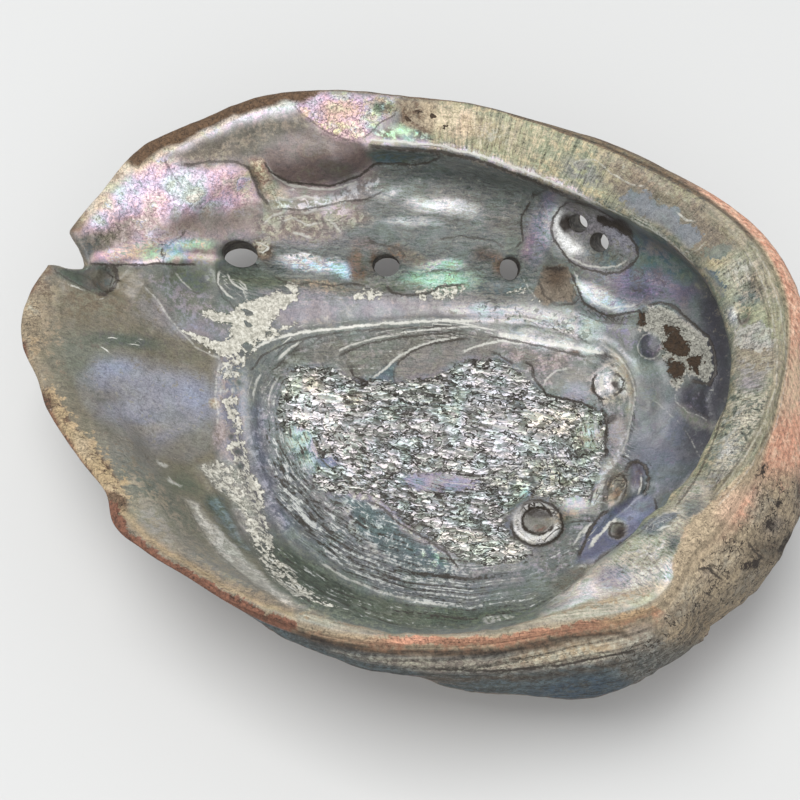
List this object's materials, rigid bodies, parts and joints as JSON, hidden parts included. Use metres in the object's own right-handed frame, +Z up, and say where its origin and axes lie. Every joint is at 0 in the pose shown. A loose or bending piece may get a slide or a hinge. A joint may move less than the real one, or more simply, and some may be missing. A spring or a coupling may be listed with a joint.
{
  "type": "abalone shell",
  "caption": "Oval ear-shaped sea shell lying on its back, with an open nacre bowl, a flat inner shelf along one side and a row of breathing holes.",
  "frame": {"origin": "middle of the shell's outline, on the plane it rests on", "axes": "+X towards the spire end, +Y towards the shelf and the row of holes, +Z up out of the bowl"},
  "size_m": [0.2011, 0.1646, 0.0538],
  "materials": {
    "nacre": "pearly grey-green and pink nacre inside, rough tan and brick-red outer layer"
  },
  "bodies": {
    "root": {"abalone_shell": "nacre"}
  },
  "joints": []
}
